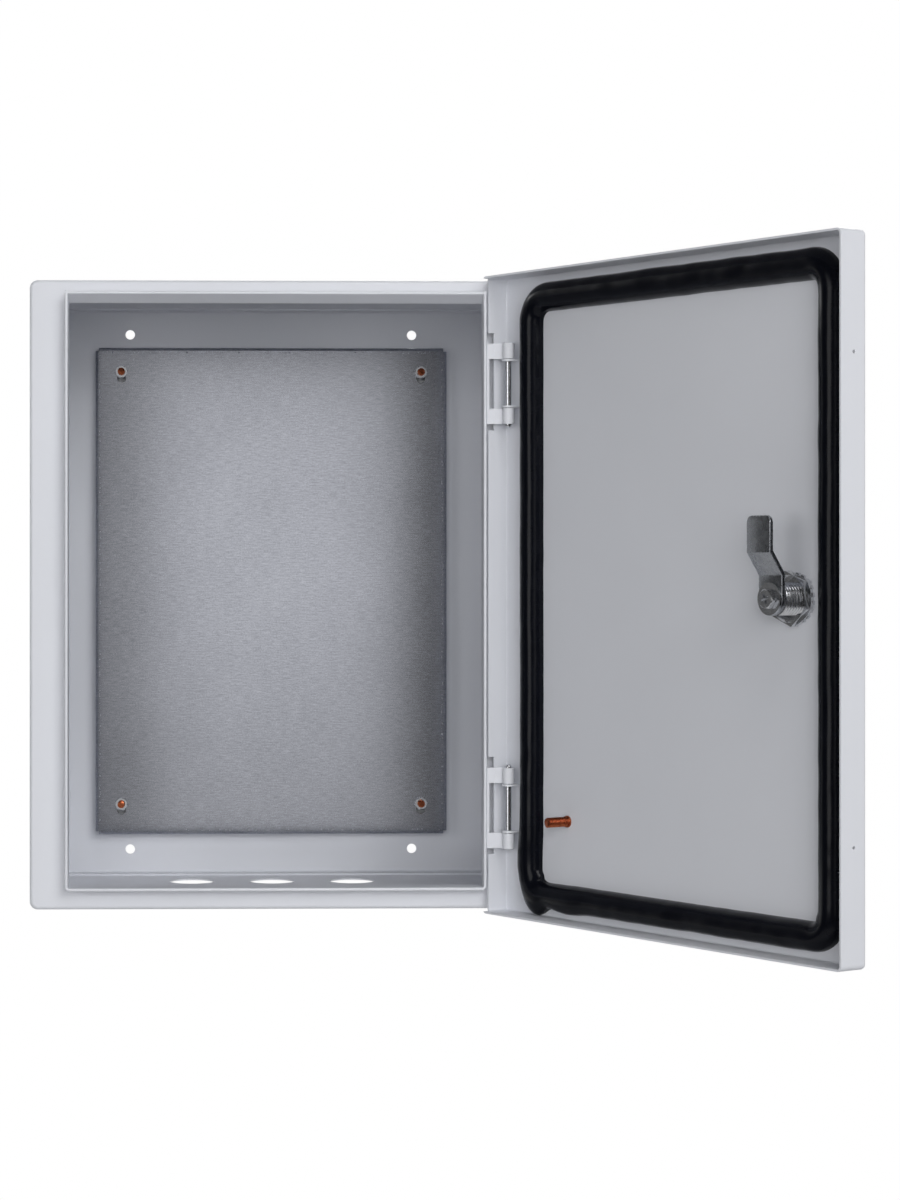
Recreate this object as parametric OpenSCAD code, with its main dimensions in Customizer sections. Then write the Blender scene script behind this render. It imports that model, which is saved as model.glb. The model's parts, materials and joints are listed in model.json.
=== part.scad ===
// Sheet-steel wall enclosure with a hinged door, a quarter-turn cam lock, a foamed-in-place
// gasket and a galvanised mounting plate. Sizes are in millimetres.
// X runs to the right, Y from the door (negative) to the wall (zero), Z up. The origin is the
// middle of the wall-bolt pattern, on the back face. Door parts are modelled on the closed
// door and then swung open about the hinge pins.

/* [Enclosure] */
// Overall width, across the door
width = 310; // [280:5:400]
// Overall height, across the door
height = 395; // [360:5:500]
// Overall depth, from the wall to the face of the closed door
depth = 220; // [150:5:300]
// How far the door stands past the body on each side
side_overlap = 1.75; // [1:0.25:2.5]
// How far the door stands past the body at the top and the bottom
end_overlap = 1.5; // [1.3:0.1:2.5]
// Thickness of the body's sheet
body_sheet = 1; // [0.8:0.1:1.2]
// Radius of the body's four long edges
corner_r = 5; // [4:0.5:8]
// Outside radius of the bend into the front flange
bend_r = 2.5; // [2:0.5:3]

/* [Front frame] */
// Width of the front flange at the sides
side_flange = 22.4; // [21:0.2:25]
// Width of the front flange at the top and the bottom
end_flange = 12.4; // [11:0.2:16]
// How far the hemmed sealing lip stands in front of the flange
lip_front = 11; // [10:0.5:12]
// How far the hem's inner layer reaches behind the flange
lip_back = 4; // [2:0.5:5]
// Outside radius of the lip's two bottom corners
lip_corner_r = 3; // [2.5:0.5:6]
// Radius of the bend at the root of the lip
lip_root_r = 1; // [0.5:0.25:1.5]
// Rise of the rain gutter along the top of the opening
gutter_rise = 5.2; // [3:0.2:6]

/* [Back panel] */
// Thickness of the back panel's sheet
back_sheet = 1.2; // [1:0.1:1.5]
// Depth of the back panel's welded rim
tray_depth = 14; // [8:1:20]
// Distance of the wall bolts from the body's sides
bolt_side = 55.75; // [40:0.25:80]
// Distance of the wall bolts from the body's top and bottom
bolt_end = 18; // [17:0.5:23]
// Diameter of the wall-bolt holes
wall_bolt_d = 6.5; // [5:0.1:8]

/* [Cable entries] */
// Number of cable holes in the floor
entry_count = 3; // [1:1:4]
// Diameter of a cable hole
entry_d = 30; // [16:1:40]
// Distance between cable holes
entry_pitch = 54; // [42:1:60]
// Distance of the cable holes from the wall
entry_y = 49; // [40:1:80]

/* [Mounting plate] */
// Distance of the mounting plate from the body's sides
plate_side = 32.25; // [29:0.25:50]
// Distance of the mounting plate from the body's top and bottom
plate_end = 28.5; // [27:0.5:60]
// Thickness of the mounting plate
plate_sheet = 1.2; // [1:0.1:2]
// Distance of the plate's front face from the wall
plate_stand = 13; // [10:0.5:25]
// Outside radius of the plate's folded edges
plate_bend_r = 2; // [1.6:0.2:2.4]
// Side of the square relief cut at each plate corner
plate_notch = 2.4; // [2.4:0.2:8]
// How far the plate's middle sits above the enclosure's middle
plate_rise = 0.7; // [0:0.1:2]
// Distance of the plate studs from the plate's sides
stud_side = 18; // [12:0.5:40]
// Distance of the plate studs from the plate's top and bottom
stud_end = 19; // [14:0.5:40]
// Diameter of the plate studs
stud_d = 5; // [4:0.5:6]
// Length of the plate studs, from the back panel
stud_len = 20; // [18:1:30]
// Width of the hanging slots
slot_w = 6; // [6:0.5:9]
// Height of the hanging slots
slot_h = 10.5; // [9.5:0.5:16]
// Width across the flats of the stud nuts
nut_af = 8; // [7:0.5:10]
// Height of the stud nuts
nut_h = 4; // [3:0.5:5]

/* [Door] */
// Depth of the door's rim
door_depth = 19; // [18:0.5:22]
// Gap between the door's rim and the body's flange
door_gap = 2.4; // [2:0.1:3]
// Thickness of the door's sheet
door_sheet = 1.2; // [1:0.1:1.5]
// Radius of the door's four corners
door_corner_r = 3; // [2.5:0.5:5]
// Outside radius of the door's bends
door_bend_r = 2; // [1.6:0.2:2.4]
// Depth of the rim along the hinge side
hinge_rim = 15.4; // [13:0.2:15.4]
// Diameter of the two small holes in the lock-side rim
rim_hole_d = 2; // [1.5:0.5:4]
// Distance of those holes from the door's face
rim_hole_n = 9.5; // [6:0.5:12]
// Distance of those holes from the door's top and bottom
rim_hole_end = 65.5; // [40:0.5:150]
// Angle at which the door stands open
open_angle = 122.5; // [0:0.5:124]

/* [Hinges] */
// Distance of the hinges' middles from the door's top and bottom
hinge_end = 65.9; // [58:0.1:110]
// How far both hinges sit below the middle of that pattern
hinge_drop = 0.6; // [0:0.1:2]
// Distance of the pins from the door's hinge edge
pin_inset = 11; // [10.5:0.1:11.2]
// Distance of the pins behind the door's face
pin_setback = 7.4; // [7.2:0.1:8]
// Diameter of a hinge pin
pin_d = 4; // [3:0.5:4]
// Radial clearance round a hinge pin
pin_fit = 0.05; // [0.02:0.01:0.1]
// How far a pin's domed end stands out
pin_dome = 2.5; // [2.2:0.1:4]
// Thickness of the hinge leaf
leaf_sheet = 1.5; // [1.2:0.1:1.6]
// Height of the hinge leaf
leaf_h = 50; // [46:1:54]
// Height of each curled strap of the leaf
strap_h = 9.6; // [8:0.2:12]
// Thickness of the door bracket
bracket_sheet = 1.2; // [1:0.1:1.5]
// Side clearance between the bracket's ears and the straps
ear_gap = 0.4; // [0.2:0.1:1]
// Width of the bracket's base on the door
bracket_w = 13.6; // [13:0.1:13.8]
// Diameter of the small hole in the bracket's base
bracket_hole_d = 1.8; // [1:0.1:3]
// Distance of that hole from the door's hinge edge
bracket_hole_inset = 7.5; // [6:0.5:9]
// Radius of the ears round the pin
ear_r = 4.2; // [3.6:0.1:4.4]
// Depth of the rim's notch at each hinge
notch_n = 4.4; // [3.6:0.2:5]
// Height of the rim's notch at each hinge
notch_h = 60.4; // [60.4:0.2:64]
// How far the notch's middle sits above the hinge's middle
notch_rise = 1.4; // [0:0.1:1.4]

/* [Gasket] */
// Width of the foam bead
gasket_w = 18; // [14:0.5:18.5]
// Corner radius of the bead's centre line
gasket_corner_r = 15; // [14:1:24]
// How far the bead's frame sits towards the lock from the lip's middle
gasket_shift = 2.5; // [0:0.1:2.5]
// Gap between the relaxed bead and the lip
gasket_clear = 0.3; // [0.2:0.1:1]
// Radius of the groove along the bead's inner flank
groove_r = 1; // [0.5:0.1:1.4]
// Angle of the groove above the door, seen from the bead's middle
groove_angle = 50; // [35:5:70]

/* [Lock] */
// Distance of the lock from the door's free edge
lock_inset = 52; // [50:0.5:54]
// Diameter of the lock's threaded barrel
barrel_d = 20; // [18:0.5:22]
// Width across the barrel's two flats
barrel_flats = 18; // [16:0.5:18]
// How far the barrel reaches from the door's face
barrel_n = 18; // [16:0.5:18]
// Clearance of the barrel in the door
barrel_fit = 0.1; // [0.05:0.05:0.3]
// Diameter of the bezel on the door's face
bezel_d = 28; // [26:0.5:34]
// Thickness of the bezel
bezel_t = 3; // [2.5:0.5:4]
// Radius of the bezel's edge
bezel_r = 1.5; // [0.5:0.5:2]
// Thickness of the seal under the bezel
seal_t = 1; // [0.8:0.1:1.5]
// Width across the flats of the lock nut
lock_nut_af = 27; // [25:1:30]
// Height of the lock nut
lock_nut_h = 5; // [4:0.5:7]
// Outside diameter of the toothed washer
washer_d = 29; // [28:0.5:32]
// Thickness of the toothed washer
washer_t = 1.5; // [1:0.1:2]
// Number of teeth on the washer
washer_teeth = 20; // [12:1:30]
// Diameter of the turning plug
plug_d = 12; // [11:0.5:13]
// Radial clearance round the plug
plug_fit = 0.05; // [0.02:0.01:0.1]
// Diameter of the key well in the bezel
well_d = 16; // [15:0.5:18]
// Depth of the key well
well_h = 9; // [7:0.5:10]
// Width of the square that drives the cam
drive_w = 8; // [7:0.5:8]

/* [Cam] */
// Width of the cam
cam_w = 18.5; // [16:0.5:20]
// Thickness of the cam
cam_t = 2.4; // [2:0.1:3]
// Distance of the cam's tip from the lock's axis
cam_reach = 45.5; // [40:0.5:46]
// Where the cam's slanted stretch starts
crank_start = 14; // [12:0.5:16]
// Where the cam's slanted stretch ends
crank_end = 26.5; // [25:0.5:30]
// Radius of the corners at the cam's tip
cam_corner_r = 4; // [1:0.5:5]
// Clearance of the closed cam behind the lip
cam_clear = 1.8; // [0.8:0.1:2]
// Gap between the cam and the end of the barrel
cam_gap = 0.3; // [0.2:0.1:0.6]
// Diameter of the cam's washer
cam_washer_d = 18; // [14:0.5:19]
// Thickness of the cam's washer
cam_washer_t = 1; // [1:0.1:2]
// Width across the flats of the cam's screw
cam_screw_af = 10; // [8:0.5:11]
// Height of the screw's head
cam_screw_h = 3; // [3:0.5:5]
// Diameter of the screw's shank
cam_screw_d = 5; // [4:0.5:5]

/* [Earth stud] */
// Diameter of the door's earth stud
earth_d = 6; // [5:0.5:8]
// Diameter of the stud's welding collar
earth_collar_d = 7.2; // [6.8:0.1:10]
// How far the stud reaches from the door's face
earth_n = 16; // [12:0.5:18]
// Distance of the stud from the door's hinge edge
earth_inset = 61; // [45:1:120]
// Distance of the stud from the door's bottom edge
earth_end = 60.5; // [45:0.5:130]

/* [Hidden] */
$fn = 64;

// Past each cut, so that no cut ends on a face
over = 1;

// Body
body_w = width - 2 * side_overlap;
body_h = height - 2 * end_overlap;
body_d = depth - door_depth - door_gap;
flange_y = -body_d;
lip_x = body_w / 2 - side_flange;
lip_z = body_h / 2 - end_flange;
hem = 2 * body_sheet;
gutter_angle = atan(gutter_rise / lip_front);
gutter_len = (lip_front - body_sheet * (1 + sin(gutter_angle))) / cos(gutter_angle);

// Back panel and mounting plate
tray_ease = 0.5;
tray_corner_r = corner_r - body_sheet + tray_ease;
wall_bolt_x = body_w - 2 * bolt_side;
wall_bolt_z = body_h - 2 * bolt_end;
plate_w = body_w - 2 * plate_side;
plate_h = body_h - 2 * plate_end;
plate_y = -plate_stand;
stud_x = plate_w - 2 * stud_side;
stud_z = plate_h - 2 * stud_end;
stud_rise = plate_rise + (slot_h - slot_w) / 2;

// Door: n is measured from the door's face towards the wall
door_y = -depth;
hinge_pitch = height - 2 * hinge_end;
rim_hole_pitch = height - 2 * rim_hole_end;
hinge_x = width / 2 - pin_inset;
hinge_y = door_y + pin_setback;
leaf_n = door_depth + door_gap - lip_front + leaf_sheet;
bore_r = pin_d / 2 + pin_fit;
curl_r = bore_r + leaf_sheet;
bracket_h = leaf_h - 2 * (strap_h + ear_gap);
gasket_h = door_depth + door_gap - lip_front - gasket_clear - door_sheet;
gasket_x = lip_x - body_sheet;
gasket_z = lip_z - body_sheet;

earth_drop = height / 2 - earth_end;

// Lock
lock_x = lock_inset - width / 2;
cam_n = barrel_n + cam_gap;
crank = door_depth + door_gap + lip_back + cam_clear - cam_n;
cam_outer_n = cam_n + cam_t;

// ---------------------------------------------------------------- shared shapes

// Rounded rectangle, centred
module rounded(w, h, r) {
    square([w - 2 * r, h], center = true);
    square([w, h - 2 * r], center = true);
    for (x = [-1, 1], y = [-1, 1]) {
        translate([x * (w / 2 - r), y * (h / 2 - r)]) circle(r);
    }
}

// Upright slot with round ends
module slot(w, h) {
    square([w, h - w], center = true);
    for (y = [-1, 1]) translate([0, y * (h - w) / 2]) circle(d = w);
}

// Flat shape in X and Z, from y to y + t
module upright(y, t) {
    translate([0, y + t, 0]) rotate([90, 0, 0]) linear_extrude(t) children();
}

// Round bar along Y
module bar(d, y, t) {
    translate([0, y, 0]) rotate([-90, 0, 0]) cylinder(d = d, h = t);
}

// Carries a section round a rectangle with round corners. The section's X points outwards
// from the rectangle's outline and its Y along Y.
module around(w, h, r) {
    reach = w + h;
    for (x = [0, 1]) mirror([x, 0, 0]) {
        translate([w / 2, 0, 0]) linear_extrude(h - 2 * r, center = true) children();
        for (z = [0, 1]) mirror([0, 0, z]) {
            translate([w / 2 - r, 0, r - h / 2]) rotate([-90, 0, 0]) rotate_extrude(angle = 90) {
                intersection() {
                    translate([r, 0]) children();
                    translate([0, -reach]) square([reach, 2 * reach]);
                }
            }
        }
    }
    for (z = [0, 1]) mirror([0, 0, z]) translate([0, 0, h / 2]) rotate([0, -90, 0]) {
        linear_extrude(w - 2 * r, center = true) children();
    }
}

// Solid block with round long edges and a bend radius round its front face, which is at y
module block(w, h, y, d, edge_r, front_r) {
    translate([0, y, 0]) {
        around(w, h, edge_r) intersection() {
            translate([-edge_r, 0]) square([edge_r, d]);
            union() {
                translate([-edge_r, front_r]) square([edge_r, d - front_r]);
                translate([-edge_r - front_r, 0]) square([edge_r, d]);
                translate([-front_r, front_r]) circle(front_r);
            }
        }
        translate([edge_r - w / 2, 0, edge_r - h / 2]) cube([w - 2 * edge_r, d, h - 2 * edge_r]);
    }
}

// Pan folded from sheet: a front face at y and four walls that run d back, open at the back
module pan(w, h, y, d, sheet, edge_r, front_r) {
    difference() {
        block(w, h, y, d, edge_r, front_r);
        block(w - 2 * sheet, h - 2 * sheet, y + sheet, d, edge_r - sheet, front_r - sheet);
    }
}

// Puts door parts where the open door is
module on_door() {
    translate([hinge_x, hinge_y, 0]) rotate([0, 0, open_angle]) {
        translate([-hinge_x, -hinge_y, 0]) children();
    }
}

// Puts lock parts on the lock's axis, with Y counted from the door's face
module on_lock() {
    on_door() translate([lock_x, door_y, 0]) children();
}

// One hinge's parts: side is 1 for the upper hinge and -1 for the lower one
module at_hinge(side) {
    translate([0, 0, side * hinge_pitch / 2 - hinge_drop]) mirror([0, 0, side < 0 ? 1 : 0]) children();
}

// ---------------------------------------------------------------- body

// The hemmed lip in section: two layers of sheet with a round front edge. The outer layer
// turns into the flange and the inner one reaches behind it.
module lip_section() {
    front = lip_front - body_sheet;
    translate([-hem, -front]) square([hem, front + body_sheet]);
    translate([-body_sheet, -front]) circle(body_sheet);
    translate([-hem, 0]) square([body_sheet, lip_back]);
    difference() {
        translate([-body_sheet, -lip_root_r]) square([body_sheet + lip_root_r, lip_root_r]);
        translate([lip_root_r, -lip_root_r]) circle(lip_root_r);
    }
}

// The same hem tilted up to form the gutter over the opening
module gutter_section() {
    rotate(gutter_angle) {
        translate([-hem, -gutter_len]) square([hem, gutter_len]);
        translate([-body_sheet, -gutter_len]) circle(body_sheet);
    }
    polygon([
        [0, 0], [0, body_sheet], [-body_sheet, body_sheet], [-body_sheet, lip_back],
        [-hem, lip_back], [-hem, 0], [-hem * cos(gutter_angle), -hem * sin(gutter_angle)],
    ]);
}

// Everything above the gutter
module above_gutter() {
    far = lip_front + over;
    rotate([0, -90, 0]) linear_extrude(body_w, center = true) {
        polygon([
            [lip_z, flange_y], [lip_z + far * tan(gutter_angle), flange_y - far],
            [body_h, flange_y - far], [body_h, flange_y + lip_back + over],
            [lip_z, flange_y + lip_back + over],
        ]);
    }
}

// The lip round the opening: two sides and the bottom from one hem, and the gutter on top
module sealing_lip() {
    tall = lip_z + body_h / 2;
    difference() {
        translate([0, flange_y, tall / 2 - lip_z]) around(2 * lip_x, tall, lip_corner_r) {
            lip_section();
        }
        above_gutter();
    }
    translate([0, flange_y, lip_z]) rotate([0, -90, 0]) {
        linear_extrude(2 * lip_x, center = true) gutter_section();
    }
}

// The opening in the front flange, square at the top under the gutter
module opening() {
    w = 2 * (lip_x - body_sheet);
    h = 2 * (lip_z - body_sheet);
    upright(flange_y - over, body_sheet + 2 * over) {
        rounded(w, h, lip_corner_r - body_sheet);
        translate([0, h / 4]) square([w, h / 2], center = true);
    }
}

module cable_entries() {
    for (i = [0 : entry_count - 1]) {
        translate([(i - (entry_count - 1) / 2) * entry_pitch, -entry_y, -body_h / 2 - over]) {
            cylinder(d = entry_d, h = body_sheet + 2 * over);
        }
    }
}

module body_shell() {
    color("gainsboro") {
        difference() {
            pan(body_w, body_h, flange_y, body_d, body_sheet, corner_r, bend_r);
            opening();
            cable_entries();
        }
        sealing_lip();
    }
}

// Tray pushed into the back of the shell and welded round its rim
module back_panel() {
    color("gainsboro") difference() {
        mirror([0, 1, 0]) pan(
            body_w - 2 * body_sheet, body_h - 2 * body_sheet, 0, tray_depth,
            back_sheet, tray_corner_r, bend_r
        );
        for (x = [-1, 1], z = [-1, 1]) {
            translate([x * wall_bolt_x / 2, 0, z * wall_bolt_z / 2]) {
                bar(wall_bolt_d, -back_sheet - over, back_sheet + 2 * over);
            }
        }
    }
}

// ---------------------------------------------------------------- mounting plate

module at_studs() {
    for (x = [-1, 1], z = [-1, 1]) {
        translate([x * stud_x / 2, 0, stud_rise + z * stud_z / 2]) children();
    }
}

// Sheet with both its edges folded back, seen from the end: w wide, with its front at zero
module folded_section(w, fold) {
    difference() {
        fold_outline(w, fold, plate_bend_r);
        translate([0, plate_sheet]) {
            fold_outline(w - 2 * plate_sheet, fold, plate_bend_r - plate_sheet);
        }
    }
}

module fold_outline(w, fold, r) {
    translate([-w / 2, r]) square([w, fold - r]);
    translate([r - w / 2, 0]) square([w - 2 * r, fold]);
    for (x = [-1, 1]) translate([x * (w / 2 - r), r]) circle(r);
}

// Plate with four edges folded back, notched at its corners and hung on the studs by slots
module mounting_plate() {
    fold = plate_stand - back_sheet;
    color("darkgray") difference() {
        translate([0, plate_y, plate_rise]) {
            linear_extrude(plate_h - 2 * plate_notch, center = true) {
                folded_section(plate_w, fold);
            }
            rotate([0, 90, 0]) linear_extrude(plate_w - 2 * plate_notch, center = true) {
                folded_section(plate_h, fold);
            }
        }
        at_studs() upright(plate_y - over, plate_sheet + 2 * over) {
            translate([0, (slot_w - slot_h) / 2]) slot(slot_w, slot_h);
        }
    }
}

module plate_studs() {
    color("peru") at_studs() bar(stud_d, -back_sheet - stud_len, stud_len);
}

module plate_nuts() {
    color("silver") at_studs() difference() {
        upright(plate_y - nut_h, nut_h) circle(d = nut_af / cos(30), $fn = 6);
        bar(stud_d, plate_y - nut_h - over, nut_h + 2 * over);
    }
}

// ---------------------------------------------------------------- hinges

// Curled strap seen along the pin: it leaves the leaf, slopes to the curl and wraps the pin
module curl_section() {
    rear_y = door_y + leaf_n;
    knee_x = lip_x + leaf_sheet + curl_r;
    difference() {
        union() {
            polygon([
                [lip_x, rear_y], [knee_x, rear_y], [hinge_x, hinge_y + curl_r],
                [hinge_x, hinge_y + bore_r], [knee_x, rear_y - leaf_sheet],
                [lip_x, rear_y - leaf_sheet],
            ]);
            translate([hinge_x, hinge_y]) circle(curl_r);
        }
        translate([hinge_x, hinge_y]) circle(bore_r);
    }
}

// Leaf welded to the outside of the lip, with a strap at its top and bottom
module hinge_leaf() {
    foot_y = flange_y - lip_root_r;
    rear_y = door_y + leaf_n;
    translate([lip_x, rear_y - leaf_sheet, -leaf_h / 2]) {
        cube([leaf_sheet, foot_y - rear_y + leaf_sheet, leaf_h]);
    }
    for (z = [-leaf_h / 2, leaf_h / 2 - strap_h]) {
        translate([0, 0, z]) linear_extrude(strap_h) curl_section();
    }
}

module hinge_leaf_upper() {
    color("gainsboro") at_hinge(1) hinge_leaf();
}

module hinge_leaf_lower() {
    color("gainsboro") at_hinge(-1) hinge_leaf();
}

// Pin, flush with the outer strap and domed where it passes the inner one
module hinge_pin() {
    translate([hinge_x, hinge_y, -leaf_h / 2 - pin_dome + pin_d / 2]) {
        cylinder(d = pin_d, h = leaf_h + pin_dome - pin_d / 2);
        sphere(d = pin_d);
    }
}

module hinge_pin_upper() {
    color("gainsboro") at_hinge(1) hinge_pin();
}

module hinge_pin_lower() {
    color("gainsboro") at_hinge(-1) hinge_pin();
}

// U-shaped bracket welded inside the door, with two ears between the straps
module hinge_bracket() {
    base_y = door_y + door_sheet;
    base_x = width / 2 - door_bend_r - bracket_w;
    difference() {
        union() {
            translate([base_x, base_y, -bracket_h / 2]) cube([bracket_w, bracket_sheet, bracket_h]);
            for (z = [-bracket_h / 2, bracket_h / 2 - bracket_sheet]) {
                translate([0, 0, z]) linear_extrude(bracket_sheet) {
                    translate([hinge_x, hinge_y]) circle(ear_r);
                    polygon([
                        [base_x, base_y], [base_x + bracket_w, base_y],
                        [base_x + bracket_w, base_y + bracket_sheet],
                        [hinge_x + ear_r, hinge_y], [hinge_x - ear_r, hinge_y],
                        [base_x, base_y + bracket_sheet],
                    ]);
                }
            }
        }
        translate([hinge_x, hinge_y, -bracket_h / 2 - over]) {
            cylinder(r = bore_r, h = bracket_h + 2 * over);
        }
        translate([width / 2 - bracket_hole_inset, 0, 0]) {
            bar(bracket_hole_d, base_y - over, bracket_sheet + 2 * over);
        }
    }
}

module hinge_bracket_upper() {
    color("gainsboro") on_door() at_hinge(1) hinge_bracket();
}

module hinge_bracket_lower() {
    color("gainsboro") on_door() at_hinge(-1) hinge_bracket();
}

// ---------------------------------------------------------------- door

// Round hole with two flats, which keeps the barrel from turning
module barrel_outline(gap) {
    intersection() {
        circle(d = barrel_d + 2 * gap);
        square([barrel_d + 2 * over, barrel_flats + 2 * gap], center = true);
    }
}

module door_panel() {
    rim_x = width / 2 - door_corner_r;
    color("gainsboro") on_door() difference() {
        pan(width, height, door_y, door_depth, door_sheet, door_corner_r, door_bend_r);
        translate([rim_x, door_y + hinge_rim, door_sheet - height / 2]) {
            cube([door_corner_r + over, door_depth, height - 2 * door_sheet]);
        }
        for (side = [-1, 1]) at_hinge(side) {
            translate([rim_x, door_y + hinge_rim - notch_n, side * notch_rise - notch_h / 2]) {
                cube([door_corner_r + over, door_depth, notch_h]);
            }
        }
        for (z = [-1, 1]) translate([-width / 2 - over, door_y + rim_hole_n, z * rim_hole_pitch / 2]) {
            rotate([0, 90, 0]) cylinder(d = rim_hole_d, h = door_sheet + 2 * over);
        }
        translate([lock_x, door_y, 0]) upright(-over, door_sheet + 2 * over) {
            barrel_outline(barrel_fit);
        }
    }
}

// Foam bead in section: a dome on the door's inner face, with a groove along its inner flank
module gasket_section() {
    dome_r = (gasket_w * gasket_w / 4 + gasket_h * gasket_h) / (2 * gasket_h);
    difference() {
        intersection() {
            translate([0, gasket_h - dome_r]) circle(dome_r);
            translate([-gasket_w / 2, 0]) square([gasket_w, gasket_h + over]);
        }
        translate([0, gasket_h - dome_r]) rotate(-groove_angle) {
            translate([-dome_r, 0]) circle(groove_r);
        }
    }
}

module door_gasket() {
    color("dimgray") on_door() translate([-gasket_shift, door_y + door_sheet, 0]) {
        around(2 * gasket_x, 2 * gasket_z, gasket_corner_r) gasket_section();
    }
}

module door_earth_stud() {
    color("peru") on_door() translate([width / 2 - earth_inset, door_y, -earth_drop]) {
        bar(earth_d, door_sheet, earth_n - door_sheet);
        bar(earth_collar_d, door_sheet, door_sheet);
    }
}

// ---------------------------------------------------------------- lock

module lock_housing() {
    bezel_y = -seal_t - bezel_t;
    color("silver") on_lock() difference() {
        union() {
            rotate([-90, 0, 0]) rotate_extrude() {
                translate([0, bezel_y]) square([bezel_d / 2 - bezel_r, bezel_t]);
                translate([0, bezel_y + bezel_r]) square([bezel_d / 2, bezel_t - bezel_r]);
                intersection() {
                    translate([bezel_d / 2 - bezel_r, bezel_y + bezel_r]) circle(bezel_r);
                    translate([0, bezel_y]) square([bezel_d, bezel_t]);
                }
            }
            upright(-seal_t, barrel_n + seal_t) barrel_outline(0);
        }
        bar(well_d, bezel_y - over, well_h + over);
        bar(plug_d + 2 * plug_fit, bezel_y, barrel_n + seal_t + bezel_t + over);
    }
}

module ring(outer_d, y, t) {
    upright(y, t) difference() {
        circle(d = outer_d);
        barrel_outline(barrel_fit);
    }
}

module lock_seal() {
    color("dimgray") on_lock() ring(bezel_d - 2 * bezel_r, -seal_t, seal_t);
}

// Washer with a ring of bent teeth that bite into the door
module lock_washer() {
    tooth = 360 / washer_teeth;
    color("silver") on_lock() upright(door_sheet, washer_t) difference() {
        circle(d = washer_d);
        barrel_outline(barrel_fit);
        for (i = [0 : washer_teeth - 1]) rotate(i * tooth) {
            translate([washer_d / 2, 0]) circle(d = PI * washer_d / washer_teeth / 2);
        }
    }
}

module lock_nut() {
    color("silver") on_lock() upright(door_sheet + washer_t, lock_nut_h) difference() {
        circle(d = lock_nut_af / cos(30), $fn = 6);
        circle(d = barrel_d + 2 * barrel_fit);
    }
}

// Plug with a double-bit key post in front and a square for the cam behind
module lock_plug() {
    bezel_y = -seal_t - bezel_t;
    floor_y = bezel_y + well_h;
    color("silver") on_lock() difference() {
        union() {
            bar(plug_d, floor_y, barrel_n - floor_y);
            bar(well_d / 3, bezel_y + over, well_h);
            upright(bezel_y + over, well_h) square([well_d * 0.6, well_d / 5], center = true);
            upright(barrel_n, cam_gap + cam_t) square(drive_w, center = true);
        }
        bar(cam_screw_d, barrel_n - cam_screw_d, cam_screw_d + cam_outer_n);
    }
}

// Cranked cam: seen from the side it steps back past the lip
module cam_side() {
    polygon([
        [-cam_w, 0], [crank_start, 0], [crank_end, crank], [cam_reach, crank],
        [cam_reach, crank + cam_t], [crank_end - cam_t / 2, crank + cam_t],
        [crank_start - cam_t / 2, cam_t], [-cam_w, cam_t],
    ]);
}

module cam_front() {
    circle(d = cam_w);
    translate([-cam_w / 2, 0]) square([cam_w, cam_reach - cam_corner_r]);
    translate([cam_corner_r - cam_w / 2, 0]) square([cam_w - 2 * cam_corner_r, cam_reach]);
    for (x = [-1, 1]) {
        translate([x * (cam_w / 2 - cam_corner_r), cam_reach - cam_corner_r]) circle(cam_corner_r);
    }
}

module lock_cam() {
    color("silver") on_lock() difference() {
        intersection() {
            translate([0, cam_n, 0]) rotate([0, -90, 0]) {
                linear_extrude(cam_w + 2 * over, center = true) cam_side();
            }
            upright(cam_n - over, crank + cam_t + 2 * over) cam_front();
        }
        upright(cam_n - over, cam_t + 2 * over) square(drive_w + 2 * plug_fit, center = true);
    }
}

module lock_cam_washer() {
    color("silver") on_lock() difference() {
        bar(cam_washer_d, cam_outer_n, cam_washer_t);
        bar(cam_screw_d + 2 * plug_fit, cam_outer_n - over, cam_washer_t + 2 * over);
    }
}

// Hexagon screw with a cross recess
module lock_cam_screw() {
    head_n = cam_outer_n + cam_washer_t;
    recess = cam_screw_h / 2;
    color("silver") on_lock() difference() {
        union() {
            upright(head_n, cam_screw_h) circle(d = cam_screw_af / cos(30), $fn = 6);
            bar(cam_screw_d, barrel_n - cam_screw_d, head_n - barrel_n + cam_screw_d);
        }
        for (a = [0, 90]) rotate([0, a, 0]) {
            upright(head_n + cam_screw_h - recess, recess + over) {
                square([cam_screw_d, cam_screw_d / 4], center = true);
            }
        }
    }
}

body_shell();
back_panel();
mounting_plate();
plate_studs();
plate_nuts();
hinge_leaf_upper();
hinge_leaf_lower();
hinge_pin_upper();
hinge_pin_lower();
hinge_bracket_upper();
hinge_bracket_lower();
door_panel();
door_gasket();
door_earth_stud();
lock_housing();
lock_seal();
lock_washer();
lock_nut();
lock_plug();
lock_cam();
lock_cam_washer();
lock_cam_screw();
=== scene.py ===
# %% [markdown]
# # A wall-mounted steel enclosure
#
# The CAD model gives every rigid part its true shape and place. This lesson dresses it: painted
# sheet steel, a galvanised plate, copper-plated studs, a chromed lock and a foamed gasket. Parts
# whose CAD shape is right keep it and get a finish. Parts with threads, chamfers or soft shapes
# are modelled here and stand in for their CAD nodes.

# %% Load the CAD model
import json
import math

import bpy
from mathutils import Matrix, Vector


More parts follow.
